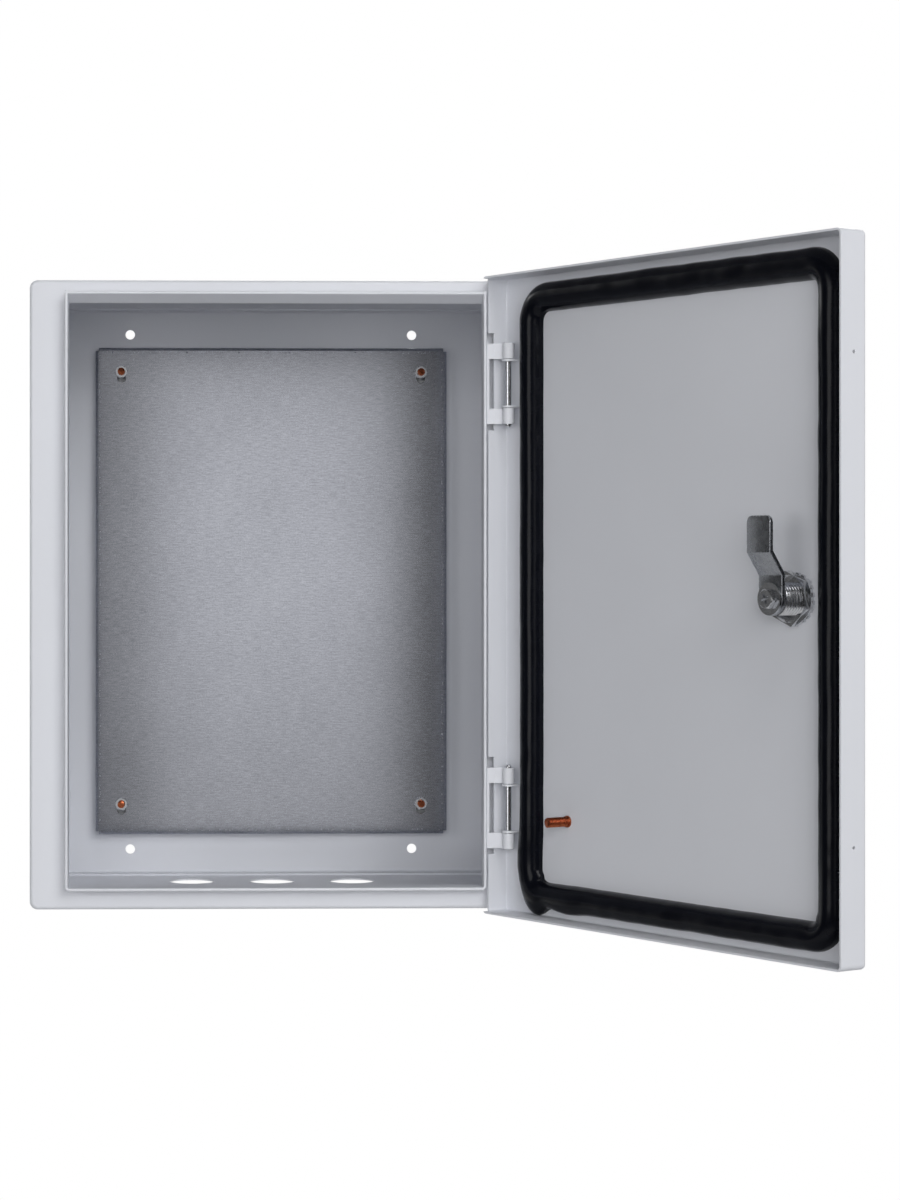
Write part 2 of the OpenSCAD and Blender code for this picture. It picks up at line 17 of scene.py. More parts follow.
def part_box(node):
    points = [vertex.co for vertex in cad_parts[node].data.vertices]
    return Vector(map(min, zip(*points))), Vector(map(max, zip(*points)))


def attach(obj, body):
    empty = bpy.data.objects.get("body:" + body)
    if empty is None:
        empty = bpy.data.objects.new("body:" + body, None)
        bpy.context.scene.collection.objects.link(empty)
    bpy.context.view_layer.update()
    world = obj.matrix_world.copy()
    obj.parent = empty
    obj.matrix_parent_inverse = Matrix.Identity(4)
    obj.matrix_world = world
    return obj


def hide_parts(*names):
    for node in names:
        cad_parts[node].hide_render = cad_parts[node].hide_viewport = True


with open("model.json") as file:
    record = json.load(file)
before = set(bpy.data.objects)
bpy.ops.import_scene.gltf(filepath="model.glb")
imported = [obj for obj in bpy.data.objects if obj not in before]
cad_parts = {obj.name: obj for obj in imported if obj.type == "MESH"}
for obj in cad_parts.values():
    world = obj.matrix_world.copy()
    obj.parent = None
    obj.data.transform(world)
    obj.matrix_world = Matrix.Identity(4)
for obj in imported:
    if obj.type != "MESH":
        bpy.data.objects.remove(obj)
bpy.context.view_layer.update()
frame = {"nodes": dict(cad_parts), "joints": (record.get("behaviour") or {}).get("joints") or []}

# %% [markdown]
# The door stands open, so everything on it is modelled on the closed door and then swung about
# the hinge pins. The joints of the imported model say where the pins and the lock's axis are, and
# the lock's axis also tells how far the door is open.

# %% Find the hinge line and the lock
MM = 0.001
joints = {joint["name"]: joint for joint in frame["joints"]}
hinge = Vector(joints["door_swing"]["pos_m"])
lock = Vector(joints["lock_turn"]["pos_m"])
lock_out = Vector(joints["lock_turn"]["axis"]).normalized()
open_angle = math.atan2(lock_out.x, -lock_out.y)
opened = Matrix.Rotation(open_angle, 4, "Z")
SWING = Matrix.Translation(hinge) @ opened @ Matrix.Translation(-hinge)
LAY_ALONG_Y = Matrix.Rotation(-math.pi / 2, 4, "X")
closed_lock = SWING.inverted() @ lock
DOOR_FACE = closed_lock.y
ON_LOCK = SWING @ Matrix.Translation(closed_lock) @ LAY_ALONG_Y
print("door open by", round(math.degrees(open_angle), 1), "degrees")
print("lock at", [round(v, 4) for v in lock])

# %% [markdown]
# Modelling by hand is a loop of add, select, edit and finish. These helpers do the same steps
# with Blender's own operators. Selecting is done by place or direction, because a script can't
# point at a face with a mouse.

# %% Helpers that select
def start_clean():
    """Leaves edit mode and deselects everything, so that only the new piece is acted on."""
    if bpy.context.object and bpy.context.object.mode != "OBJECT":
        bpy.ops.object.mode_set(mode="OBJECT")
    bpy.ops.object.select_all(action="DESELECT")


def named(name):
    """Names the piece that an operator has just added."""
    piece = bpy.context.object
    piece.name = name
    piece.data.name = name
    return piece


def focus(piece):
    """Leaves one piece selected and active."""
    start_clean()
    piece.select_set(True)
    bpy.context.view_layer.objects.active = piece


def pick(piece, part, test):
    """Goes into edit mode with only the faces or vertices selected that pass the test."""
    focus(piece)
    bpy.ops.object.mode_set(mode="EDIT")
    bpy.ops.mesh.select_mode(type="FACE" if part == "faces" else "VERT")
    bpy.ops.mesh.select_all(action="DESELECT")
    bpy.ops.object.mode_set(mode="OBJECT")
    if part == "faces":
        for face in piece.data.polygons:
            face.select = bool(test(face.center, face.normal))
    else:
        for vertex in piece.data.vertices:
            vertex.select = bool(test(vertex.co))
    bpy.ops.object.mode_set(mode="EDIT")


print("selecting: start_clean, named, focus, pick")

# %% [markdown]
# A modifier reshapes a whole piece by a rule, and applying it leaves plain faces behind. A
# boolean cuts one closed piece with another, as a drill or a saw would. It works only where
# both are closed, so doubled vertices are merged before a cut and after it.

# %% Helpers that shape
def modify(piece, kind, **settings):
    """Adds a modifier and applies it."""
    focus(piece)
    modifier = piece.modifiers.new(kind.lower(), kind)
    for name, value in settings.items():
        setattr(modifier, name, value)
    bpy.ops.object.modifier_apply(modifier=modifier.name)


def cut(piece, tool, operation="DIFFERENCE"):
    """Cuts, joins or intersects two closed pieces. The tool is used up."""
    modify(piece, "BOOLEAN", object=tool, operation=operation, solver="EXACT")
    bpy.data.objects.remove(tool, do_unlink=True)


def place(piece, where):
    """Moves a piece to its place, with the place kept in its mesh."""
    focus(piece)
    piece.matrix_world = where @ piece.matrix_world
    bpy.ops.object.transform_apply(location=True, rotation=True, scale=True)


def close_up(piece, distance=1e-6):
    """Merges doubled vertices and turns every face outwards."""
    focus(piece)
    bpy.ops.object.mode_set(mode="EDIT")
    bpy.ops.mesh.select_all(action="SELECT")
    bpy.ops.mesh.remove_doubles(threshold=distance)
    bpy.ops.mesh.normals_make_consistent(inside=False)
    bpy.ops.object.mode_set(mode="OBJECT")


def smooth(piece, degrees):
    """Shades a piece smooth, and leaves edges sharper than the angle crisp."""
    focus(piece)
    bpy.ops.object.shade_smooth_by_angle(angle=math.radians(degrees))


print("shaping: modify, cut, place, close_up, smooth")

# %% [markdown]
# Most of the small parts are turned from round bar, so they start as a rod. A part that is
# there several times is made once and copied. A finished piece gets its finish and the body it
# moves with, and the CAD node that it stands for is hidden.

# %% Helpers that start and finish a piece
def copied(piece, name):
    """A copy with a mesh of its own."""
    other = piece.copy()
    other.data = piece.data.copy()
    other.name = other.data.name = name
    bpy.context.collection.objects.link(other)
    return other


def finished(piece, body, finish, stands_for=None):
    """Gives a piece its finish and its body, and hides the CAD node it stands for."""
    piece.data.materials.clear()
    piece.data.materials.append(finish)
    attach(piece, body)
    if stands_for:
        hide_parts(stands_for)
    print(piece.name, "has", len(piece.data.polygons), "faces")


def rod(radius, bottom, top, name, sides=48):
    """A closed cylinder along Z between two heights."""
    start_clean()
    bpy.ops.mesh.primitive_cylinder_add(
        vertices=sides, radius=radius, depth=top - bottom, location=(0, 0, (bottom + top) / 2)
    )
    bpy.ops.object.transform_apply(location=True, rotation=True, scale=True)
    return named(name)


print("starting and finishing: copied, finished, rod")

# %% [markdown]
# A finish is a network of shader nodes. Drawing one by hand is slow to read in a script, so two
# small classes turn it into sums: a Wire is one socket's output, and adding or multiplying wires
# adds the Math nodes. A Finish adds every other kind of node with one method.

# %% Shader helpers
class Wire:
    """A value that changes over the surface. Python's operators add Math nodes."""

    def __init__(self, finish, socket):
        self.finish = finish
        self.socket = socket

    def maths(self, operation, *values):
        node = self.finish.tree.nodes.new("ShaderNodeMath")
        node.operation = operation
        for socket, value in zip(node.inputs, values):
            self.finish.feed(socket, value)
        return Wire(self.finish, node.outputs[0])

    def __add__(self, other): return self.maths("ADD", self, other)
    def __radd__(self, other): return self.maths("ADD", other, self)
    def __sub__(self, other): return self.maths("SUBTRACT", self, other)
    def __rsub__(self, other): return self.maths("SUBTRACT", other, self)
    def __mul__(self, other): return self.maths("MULTIPLY", self, other)
    def __rmul__(self, other): return self.maths("MULTIPLY", other, self)
    def __gt__(self, other): return self.maths("GREATER_THAN", self, other)
    def __lt__(self, other): return self.maths("LESS_THAN", self, other)
    def __abs__(self): return self.maths("ABSOLUTE", self)

    def clipped(self):
        """Kept between 0 and 1."""
        return self.maths("MINIMUM", self.maths("MAXIMUM", self, 0.0), 1.0)

    def at_least(self, other): return self.maths("MAXIMUM", self, other)
    def at_most(self, other): return self.maths("MINIMUM", self, other)

    def ramp(self, low, high):
        """0 below low and 1 above high, with a straight rise between them."""
        return ((self - low) * (1 / (high - low))).clipped()


class Finish:
    """A material or a world, and the one method that adds its nodes."""

    def __init__(self, name, owner=None):
        self.block = owner or bpy.data.materials.new(name)
        self.block.use_nodes = True
        self.tree = self.block.node_tree

    def feed(self, socket, value):
        """Links a wire to a socket, or writes a plain value in it."""
        if isinstance(value, Wire):
            self.tree.links.new(value.socket, socket)
        else:
            socket.default_value = value

    def node(self, kind, settings=None, sockets=None, out=0):
        """Adds a node: its settings are set first, and then its sockets."""
        node = self.tree.nodes.new("ShaderNode" + kind)
        for name, value in (settings or {}).items():
            setattr(node, name, value)
        for name, value in (sockets or {}).items():
            socket = next(s for s in node.inputs if name in (s.identifier, s.name))
            self.feed(socket, value)
        socket = node.outputs[out] if isinstance(out, int) else next(
            s for s in node.outputs if out in (s.identifier, s.name)
        )
        return Wire(self, socket)

    def set(self, **values):
        """Sets the sockets of the Principled shader: base_color sets Base Color."""
        shader = self.tree.nodes["Principled BSDF"]
        for name, value in values.items():
            label = name.replace("_", " ").lower()
            self.feed(next(s for s in shader.inputs if s.name.lower() == label), value)

    def spot(self):
        """Where a point of the surface is, in metres."""
        return self.node("TexCoord", out="Object")

    def parts(self, vector):
        """The X, Y and Z of a vector."""
        node = self.tree.nodes.new("ShaderNodeSeparateXYZ")
        self.feed(node.inputs[0], vector)
        return [Wire(self, socket) for socket in node.outputs]

    def noise(self, spot, size, detail=2.0, rough=0.5, stretch=(1, 1, 1)):
        """Soft random blobs about as large as size, from 0 to 1."""
        if stretch != (1, 1, 1):
            spot = self.node(
                "Mapping", {"vector_type": "POINT"}, {"Vector": spot, "Scale": stretch}
            )
        return self.node(
            "TexNoise", {"noise_dimensions": "3D"},
            {"Vector": spot, "Scale": 1 / size, "Detail": detail, "Roughness": rough},
        )

    def mix(self, factor, low, high):
        """A colour between two colours."""
        return self.node(
            "Mix", {"data_type": "RGBA"},
            {"Factor_Float": factor, "A_Color": low, "B_Color": high}, out="Result_Color",
        )

    def bump(self, height, depth):
        """Turns a height from 0 to 1 into relief of that depth in metres."""
        return self.node("Bump", None, {"Height": height, "Distance": depth, "Strength": 1.0})


def srgb(r, g, b):
    """A colour given in 0 to 255 as it looks on a screen, as Blender's linear values."""
    def linear(v):
        v /= 255
        return v / 12.92 if v <= 0.04045 else ((v + 0.055) / 1.055) ** 2.4
    return (linear(r), linear(g), linear(b), 1.0)


print("light grey is", [round(v, 3) for v in srgb(204, 206, 212)])

# %% [markdown]
# Powder coat is paint that is sprayed on as dry powder and baked. It flows into a skin with a
# faint orange-peel waviness a millimetre or so across and a soft gloss. A fine bump gives the
# skin, and a faint change in roughness keeps large faces from looking like plastic.

# %% Powder coat
coat = Finish("powder_coat")
spot = coat.spot()
peel = coat.noise(spot, 1.6 * MM, detail=2.0)
grain = coat.noise(spot, 0.35 * MM, detail=1.0)
cloud = coat.noise(spot, 90 * MM, detail=2.0)
coat.set(
    base_color=coat.mix(cloud, srgb(214, 216, 222), srgb(221, 223, 229)),
    roughness=0.42 + 0.1 * peel,
    normal=coat.bump(peel * 0.7 + grain * 0.3, 0.035 * MM),
)
powder_coat = coat.block
print("powder coat:", len(coat.tree.nodes), "nodes")

# %% [markdown]
# Hot-dip galvanised sheet carries a skin of zinc. It mirrors light softly, with a fine grain
# drawn out along the rolling direction, a few scratches from handling, and a row of small
# brighter, rougher dots a few millimetres inside its edge. Streaks come from noise that is
# squeezed along one axis, and the dots from noise kept within a narrow band inside the edge.

# %% Galvanised sheet
plate_low, plate_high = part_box("mounting_plate")
zinc = Finish("galvanised_sheet")
spot = zinc.spot()
fine = zinc.noise(spot, 1.0 * MM, detail=3.0, rough=0.75)
rolled = zinc.noise(spot, 1.3 * MM, detail=4.0, rough=0.75, stretch=(0.2, 1, 1.5))
cloud = zinc.noise(spot, 45 * MM, detail=4.0, rough=0.6)
mottle = fine * 0.42 + rolled * 0.48 + cloud * 0.1
scratch = zinc.noise(spot, 9 * MM, detail=3.0, rough=0.8, stretch=(8, 1, 1.3)).ramp(0.71, 0.75)
across, _, upward = zinc.parts(spot)
from_side = (plate_high.x - plate_low.x) / 2 - abs(across - (plate_high.x + plate_low.x) / 2)
from_end = (plate_high.z - plate_low.z) / 2 - abs(upward - (plate_high.z + plate_low.z) / 2)
from_edge = from_side.at_most(from_end)
# Small dots, lighter and rougher than the zinc around them, in a band 2.6 to 3.7 mm inside the
# plate's edge.
dots_from, dots_to = 2.6 * MM, 3.7 * MM
dot_band = (from_edge > dots_from) * (from_edge < dots_to)
edge_dots = dot_band * zinc.noise(spot, 1.9 * MM, detail=1.0).ramp(0.6, 0.66)
scratches_and_dots = (scratch * 0.5 + edge_dots).clipped()
zinc.set(
    base_color=zinc.mix(
        (mottle.ramp(0.41, 0.59) * 0.8 + scratches_and_dots).clipped(), srgb(146, 148, 155), srgb(186, 188, 196)
    ),
    metallic=1.0,
    roughness=0.075 + 0.08 * mottle + 0.3 * scratches_and_dots,
    normal=zinc.bump(fine * 0.3 + rolled * 0.5 + edge_dots * 0.6, 0.0008 * MM),
)
galvanised_sheet = zinc.block
print("galvanised sheet:", len(zinc.tree.nodes), "nodes")

# %% [markdown]
# The studs are steel with a thin bright coat of copper. The lock's barrel and nut are chromed.
# The small nuts, the washers, the plug, the screw and the hinge pins have bright zinc.
# The cam is stamped from zinc-coated strip, whose grain runs along it. All four finishes are
# one recipe: a metal with faint stains, fine grain and a little wear in its gloss.

# %% Bright metals
def plated(name, dull, bright, roughness, grain_size, brushed=(1, 1, 1)):
    """A metal between a dull and a bright colour, with its grain drawn out where it is brushed."""
    metal = Finish(name)
    spot = metal.spot()
    stain = metal.noise(spot, 4 * MM, detail=3.0, rough=0.6)
    grain = metal.noise(spot, grain_size, detail=2.0, rough=0.6, stretch=brushed)
    metal.set(
        base_color=metal.mix(stain, dull, bright),
        metallic=1.0,
        roughness=roughness - 0.06 + 0.14 * stain + 0.05 * grain,
        normal=metal.bump(grain, 0.01 * MM),
    )
    return metal.block


copper_plate = plated("copper_plate", srgb(150, 72, 44), srgb(206, 122, 84), 0.24, 0.4 * MM)
bright_zinc = plated("bright_zinc", srgb(196, 198, 202), srgb(230, 231, 234), 0.15, 0.5 * MM)
chrome = plated("chrome", srgb(204, 205, 208), srgb(236, 237, 239), 0.13, 0.8 * MM)
brushed_zinc = plated(
    "brushed_zinc", srgb(146, 149, 155), srgb(190, 193, 198), 0.24, 0.5 * MM, (1, 1, 0.12)
)
print("metals:", copper_plate.name, bright_zinc.name, chrome.name, brushed_zinc.name)

# %% [markdown]
# The gasket is polyurethane foam, poured as a liquid bead that rises and cures on the door. Its
# skin is closed, black and slightly shiny, with a faint unevenness. The small seal under the
# lock's bezel is plain matt rubber.

# %% Foam and rubber
foam_skin = Finish("foam_skin")
spot = foam_skin.spot()
pores = foam_skin.noise(spot, 1.2 * MM, detail=2.0, rough=0.6)
swell = foam_skin.noise(spot, 9 * MM, detail=2.0)
foam_skin.set(
    base_color=foam_skin.mix(swell, srgb(6, 7, 13), srgb(13, 15, 22)),
    roughness=0.14 + 0.12 * swell,
    normal=foam_skin.bump(pores * 0.2 + swell * 0.8, 0.05 * MM),
    ior=1.25,
)
rubber = Finish("seal_rubber")
spot = rubber.spot()
matt = rubber.noise(spot, 0.4 * MM, detail=2.0)
rubber.set(
    base_color=rubber.mix(matt, srgb(24, 24, 26), srgb(40, 40, 43)),
    roughness=0.6 + 0.2 * matt,
    normal=rubber.bump(matt, 0.02 * MM),
)
print("soft finishes:", foam_skin.block.name, rubber.block.name)

# %% [markdown]
# The CAD nodes whose shape is right are shown as they are. Each gets its finish in its own
# material slots. The nodes that are modelled anew further down get theirs too, so that the list
# names the finish of every part of the enclosure.

# %% Dress the CAD nodes
FINISHES = {
    "body_shell": powder_coat,
    "back_panel": powder_coat,
    "door_panel": powder_coat,
    "hinge_leaf_upper": powder_coat,
    "hinge_leaf_lower": powder_coat,
    "hinge_bracket_upper": powder_coat,
    "hinge_bracket_lower": powder_coat,
    "hinge_pin_upper": bright_zinc,
    "hinge_pin_lower": bright_zinc,
    "mounting_plate": galvanised_sheet,
    "plate_studs": copper_plate,
    "plate_nuts": bright_zinc,
    "door_earth_stud": copper_plate,
    "door_gasket": foam_skin.block,
    "lock_housing": chrome,
    "lock_seal": rubber.block,
    "lock_washer": bright_zinc,
    "lock_nut": chrome,
    "lock_plug": bright_zinc,
    "lock_cam": brushed_zinc,
    "lock_cam_washer": bright_zinc,
    "lock_cam_screw": bright_zinc,
}
for node, finish in FINISHES.items():
    for slot in frame["nodes"][node].material_slots:
        slot.material = finish
print("dressed", len(FINISHES), "nodes")

# %% [markdown]
# A rolled thread is a ridge that climbs round a rod. One tooth of it is drawn as a line from one
# vertex, the Screw modifier winds it up, and two cuts with a fill give flat, closed ends. A real
# helix catches the light as a thread does, which a bump can't do at the edge of the rod. The
# cuts work to a much finer distance than Blender's usual one, which is coarser than the
# thread's smallest faces and would leave the ends open.

# %% Wind a thread
FINE_CUT = 1e-7


def thread(radius, pitch, bottom, top, name, steps=32):
    """A closed, threaded rod along Z. Its radius is taken over the crests."""
    depth, flank, crest, root = 0.6 * pitch, 0.4 * pitch, 0.15 * pitch, 0.05 * pitch
    start_clean()
    bpy.ops.mesh.primitive_plane_add(size=pitch, location=(0, 0, 0))
    piece = named(name)
    bpy.ops.object.mode_set(mode="EDIT")
    bpy.ops.mesh.select_mode(type="VERT")
    bpy.ops.mesh.select_all(action="SELECT")
    bpy.ops.mesh.merge(type="CENTER")
    bpy.ops.transform.translate(value=(radius - depth, 0, bottom - pitch))
    for dx, dz in ((depth, flank), (0, crest), (-depth, flank), (0, root)):
        bpy.ops.mesh.extrude_region_move(TRANSFORM_OT_translate={"value": (dx, 0, dz)})
    bpy.ops.object.mode_set(mode="OBJECT")
    turns = math.ceil((top - bottom) / pitch) + 2
    modify(
        piece, "SCREW", angle=2 * math.pi, screw_offset=pitch, iterations=turns, steps=steps,
        render_steps=steps, axis="Z", use_merge_vertices=True, merge_threshold=pitch / 100,
        use_normal_calculate=True,
    )
    focus(piece)
    bpy.ops.object.mode_set(mode="EDIT")
    bpy.ops.mesh.select_all(action="SELECT")
    bpy.ops.mesh.remove_doubles(threshold=pitch / 200)
    for height, way in ((bottom, -1), (top, 1)):
        bpy.ops.mesh.select_all(action="SELECT")
        bpy.ops.mesh.bisect(
            plane_co=(0, 0, height), plane_no=(0, 0, way), use_fill=True, clear_outer=True,
            threshold=FINE_CUT,
        )
    bpy.ops.object.mode_set(mode="OBJECT")
    close_up(piece, pitch / 500)
    return piece


print("thread is ready")

# %% [markdown]
# Nuts and screw heads are cut from hexagon bar and turned down at their corners, which leaves a
# curved edge on each flat. That curve is where a cone crosses a flat, so the nut is made in the
# same way: a six-sided prism is intersected with a disc whose edges are bevelled.

# %% Turn a hexagon
def chamfered_hex(across, height, bore, name):
    """A nut, or a screw's head where bore is 0: a prism turned down at its corners."""
    corner = across / math.sqrt(3)
    chamfer = (corner - across / 2) * 1.25
    piece = rod(corner, 0, height, name, sides=6)
    turned = rod(corner * 1.01, 0, height, name + "_turned", sides=64)
    pick(turned, "faces", lambda centre, normal: abs(normal.z) > 0.9)
    bpy.ops.mesh.bevel(offset=chamfer, segments=1, affect="EDGES")
    bpy.ops.object.mode_set(mode="OBJECT")
    cut(piece, turned, "INTERSECT")
    if bore:
        cut(piece, rod(bore, -height, 2 * height, name + "_bore"))
    close_up(piece)
    return piece


print("chamfered_hex is ready")

# %% [markdown]
# The mounting plate hangs on four copper-plated studs, each with a hexagon nut. One stud and one
# nut are modelled and copied to the four places, each copy with its own mesh. The nuts are
# turned a little, each in its own way, as hand-tightened nuts are.

# %% Plate studs and nuts
stud_low, stud_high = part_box("plate_studs")
nut_low, nut_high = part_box("plate_nuts")
stud_r, stud_pitch = 2.5 * MM, 0.8 * MM
nut_across, nut_bore, nut_turn = 8 * MM, stud_r * 0.98, 0.4
stud_x = stud_high.x - stud_r
stud_z = (stud_high.z - stud_low.z) / 2 - stud_r
stud_mid_z = (stud_high.z + stud_low.z) / 2
stud = thread(stud_r, stud_pitch, -stud_high.y, -stud_low.y, "plate_stud_thread", steps=24)
smooth(stud, 40)
nut = chamfered_hex(nut_across, nut_high.y - nut_low.y, nut_bore, "plate_nut_hex")
place(nut, Matrix.Translation((0, 0, -nut_high.y)))
smooth(nut, 25)
FACE_OUT = Matrix.Rotation(math.pi / 2, 4, "X")
corners = [
    ("top_left", -1, 1), ("top_right", 1, 1), ("bottom_left", -1, -1), ("bottom_right", 1, -1)
]
for label, side, end in corners:
    where = Matrix.Translation((side * stud_x, 0, stud_mid_z + end * stud_z)) @ FACE_OUT
    one_stud = copied(stud, "plate_stud_" + label)
    one_nut = copied(nut, "plate_nut_" + label)
    place(one_stud, where)
    place(one_nut, where @ Matrix.Rotation(side * end * nut_turn, 4, "Z"))
    finished(one_stud, "enclosure", copper_plate, "plate_studs")
    finished(one_nut, "enclosure", bright_zinc, "plate_nuts")
for used in (stud, nut):
    bpy.data.objects.remove(used, do_unlink=True)

# %% [markdown]
# The earth stud on the door is a threaded stud with a collar at its foot, where the welding gun
# held it. Its thread is wound like the others, and the collar is a disc with a rounded edge.

# %% Earth stud
earth_low, earth_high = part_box("door_earth_stud")
earth = SWING.inverted() @ ((Vector(earth_low) + Vector(earth_high)) / 2)
earth_r, earth_pitch = 3 * MM, 1 * MM
collar_r, collar_t, collar_round = 3.6 * MM, 1 * MM, 0.35 * MM
earth_foot, earth_tip = 1.2 * MM, 17.2 * MM
earth_stud = thread(earth_r, earth_pitch, earth_foot, earth_tip, "earth_stud", steps=32)
collar = rod(collar_r, earth_foot, earth_foot + collar_t, "earth_collar", sides=64)
pick(collar, "faces", lambda centre, normal: normal.z > 0.9)
bpy.ops.mesh.bevel(offset=collar_round, segments=3, affect="EDGES")
bpy.ops.object.mode_set(mode="OBJECT")
cut(earth_stud, collar, "UNION")
close_up(earth_stud)
place(earth_stud, SWING @ Matrix.Translation((earth.x, DOOR_FACE, earth.z)) @ LAY_ALONG_Y)
smooth(earth_stud, 35)
finished(earth_stud, "door", copper_plate, "door_earth_stud")

# %% [markdown]
# The lock is a cast barrel that goes through the door from the front. A thread with two flats
# takes the nut. The thread is wound round, the flats are cut off it, the bezel is joined on, and
# the well for the key and the bore for the plug are cut out.

# %% Lock barrel
barrel_r, barrel_pitch, flat_half = 10 * MM, 2 * MM, 9 * MM
barrel_foot, barrel_end = -2 * MM, 18 * MM
bezel_r, bezel_front, bezel_back, bezel_round = 14 * MM, -4 * MM, -1 * MM, 1.4 * MM
well_r, well_front, well_floor = 8 * MM, -6 * MM, 5 * MM
bore_r, bore_from, bore_to = 6.05 * MM, 3 * MM, 25 * MM
barrel = thread(barrel_r, barrel_pitch, barrel_foot, barrel_end, "lock_barrel", steps=64)
focus(barrel)
bpy.ops.object.mode_set(mode="EDIT")
for side in (-1, 1):
    bpy.ops.mesh.select_all(action="SELECT")
    bpy.ops.mesh.bisect(
        plane_co=(0, side * flat_half, 0), plane_no=(0, side, 0), use_fill=True, clear_outer=True,
        threshold=FINE_CUT,
    )
bpy.ops.object.mode_set(mode="OBJECT")
close_up(barrel, 2e-6)
bezel = rod(bezel_r, bezel_front, bezel_back, "lock_bezel", sides=96)
pick(bezel, "faces", lambda centre, normal: normal.z < -0.9)
bpy.ops.mesh.bevel(offset=bezel_round, segments=5, affect="EDGES")
bpy.ops.object.mode_set(mode="OBJECT")
cut(barrel, bezel, "UNION")
cut(barrel, rod(well_r, well_front, well_floor, "key_well", sides=64))
cut(barrel, rod(bore_r, bore_from, bore_to, "plug_bore", sides=64))
close_up(barrel)
place(barrel, ON_LOCK)
smooth(barrel, 35)
finished(barrel, "door", chrome, "lock_housing")

# %% [markdown]
# A wide, thin hexagon nut clamps the barrel to the door over a toothed washer. It is the same
# turned hexagon as the nuts on the plate, only larger. Its bore is a little smaller than the
# thread, so that no gap shows between them.

# %% Lock nut
lock_nut_across, lock_nut_thick, lock_nut_bore = 27 * MM, 5 * MM, 9.9 * MM
lock_nut_foot = Matrix.Translation((0, 0, 2.7 * MM))
lock_nut_turn = Matrix.Rotation(math.radians(9), 4, "Z")
lock_nut = chamfered_hex(lock_nut_across, lock_nut_thick, lock_nut_bore, "lock_nut_hex")
place(lock_nut, ON_LOCK @ lock_nut_foot @ lock_nut_turn)
smooth(lock_nut, 25)
finished(lock_nut, "door", chrome, "lock_nut")

# %% [markdown]
# The cam's screw is a hexagon screw with a cross for a screwdriver, so it can be done up with
# either tool. Its corners are turned down like the nut's, two bars cut the cross half-way into
# the head, and a plain shank joins it to the plug.

# %% Cam screw
head_across, head_high, head_foot = 10 * MM, 3 * MM, 21.7 * MM
cross_long, cross_wide = 5.6 * MM, 1.3 * MM
shank_r, shank_from, shank_to = 2.5 * MM, -8.7 * MM, 0.5 * MM
screw_turn = Matrix.Rotation(0.4, 4, "Z")
cam_screw = chamfered_hex(head_across, head_high, 0, "cam_screw")
for wide, high in ((cross_long, cross_wide), (cross_wide, cross_long)):
    start_clean()
    bpy.ops.mesh.primitive_cube_add(size=1, location=(0, 0, head_high))
    bpy.ops.transform.resize(value=(wide, high, head_high))
    bpy.ops.object.transform_apply(location=True, rotation=True, scale=True)
    cut(cam_screw, named("cross_bar"))
cut(cam_screw, rod(shank_r, shank_from, shank_to, "cam_screw_shank"), "UNION")
close_up(cam_screw)
place(cam_screw, ON_LOCK @ Matrix.Translation((0, 0, head_foot)) @ screw_turn)
smooth(cam_screw, 25)
finished(cam_screw, "lock_rotor", bright_zinc, "lock_cam_screw")

# %% [markdown]
# The cam is stamped from strip and then bent, and its edges aren't sharp. The CAD shape is
# right, and a copy of it gets those edges: flat faces are merged, then a small bevel runs along
# every sharp edge and catches a line of light. The copy brings the CAD's own shading normals,
# which would blur the bends, so they are cleared.

# %% Cam edges
start_clean()
cam = copied(frame["nodes"]["lock_cam"], "rounded_cam")
close_up(cam)
focus(cam)
bpy.ops.mesh.customdata_custom_splitnormals_clear()
bpy.ops.object.mode_set(mode="EDIT")
bpy.ops.mesh.select_all(action="SELECT")
bpy.ops.mesh.dissolve_limited(angle_limit=math.radians(1))
bpy.ops.object.mode_set(mode="OBJECT")
modify(
    cam, "BEVEL", width=0.5 * MM, segments=5, limit_method="ANGLE",
    angle_limit=math.radians(40),
)
close_up(cam)
smooth(cam, 20)
finished(cam, "lock_rotor", brushed_zinc, "lock_cam")

# %% [markdown]
# The foam bead follows a rectangle with round corners. Its section is drawn once as a dome, then
# extruded along each side and spun round each corner, on the way that the pouring nozzle takes
# over the door. The even rows of faces that this gives are what the next step needs.

# %% Foam gasket
bead_half, bead_high, corner_r = 9 * MM, 8.9 * MM, 15 * MM
hinge_line, lock_line, end_line = 126.3 * MM, -132.35 * MM, 182.6 * MM
door_sheet, near = 1.2 * MM, 0.1 * MM
foot = DOOR_FACE + door_sheet
start = Vector((hinge_line, foot, end_line - corner_r))
start_clean()
bpy.ops.mesh.primitive_circle_add(
    vertices=40, radius=bead_half, fill_type="NOTHING", location=start
)
gasket = named("foam_gasket")
bpy.ops.object.transform_apply(location=True, rotation=True, scale=True)
pick(gasket, "vertices", lambda point: point.y < foot - near)
bpy.ops.mesh.delete(type="VERT")
bpy.ops.mesh.select_all(action="SELECT")
bpy.ops.transform.resize(value=(1, bead_high / bead_half, 1), center_override=start)
bpy.ops.object.mode_set(mode="OBJECT")
pick(gasket, "vertices", lambda point: abs(point.y - foot) < near)
bpy.ops.mesh.edge_face_add()
bpy.ops.mesh.select_all(action="SELECT")


def run(dx, dz, steps):
    """Carries the end of the bead straight on."""
    for _ in range(steps):
        bpy.ops.mesh.extrude_region_move(
            TRANSFORM_OT_translate={"value": (dx / steps, 0, dz / steps)}
        )


def turn(x, z):
    """Carries the end of the bead round a corner."""
    bpy.ops.mesh.spin(
        steps=10, angle=math.pi / 2, center=(x, foot, z), axis=(0, 1, 0), use_auto_merge=False
    )


